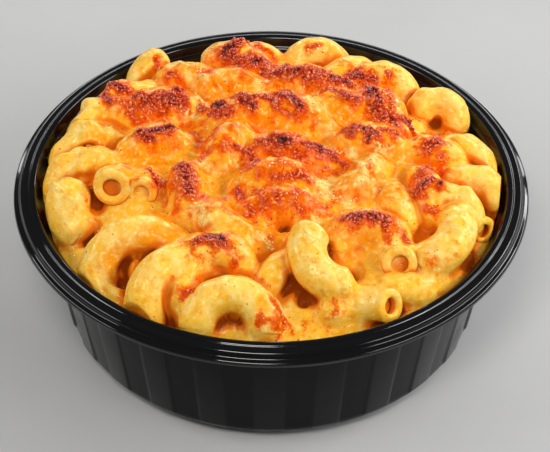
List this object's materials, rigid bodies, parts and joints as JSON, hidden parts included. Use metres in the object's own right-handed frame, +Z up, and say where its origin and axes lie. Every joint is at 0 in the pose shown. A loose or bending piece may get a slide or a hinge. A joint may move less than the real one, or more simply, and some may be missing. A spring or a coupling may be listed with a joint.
{
  "type": "bowl of baked macaroni and cheese",
  "caption": "Round black plastic takeaway bowl with a fluted side and stepped rim, heaped with elbow macaroni under melted, browned cheese.",
  "frame": {"origin": "middle of the foot ring that the bowl stands on", "axes": "+Z up through the food, -Y towards the front"},
  "size_m": [0.152, 0.152, 0.0629],
  "materials": {
    "black_plastic": "glossy moulded black plastic",
    "baked_cheese": "moist cooked pasta in melted cheese, browned on the ridges"
  },
  "bodies": {
    "root": {"bowl": "black_plastic", "macaroni_heap": "baked_cheese"}
  },
  "joints": []
}
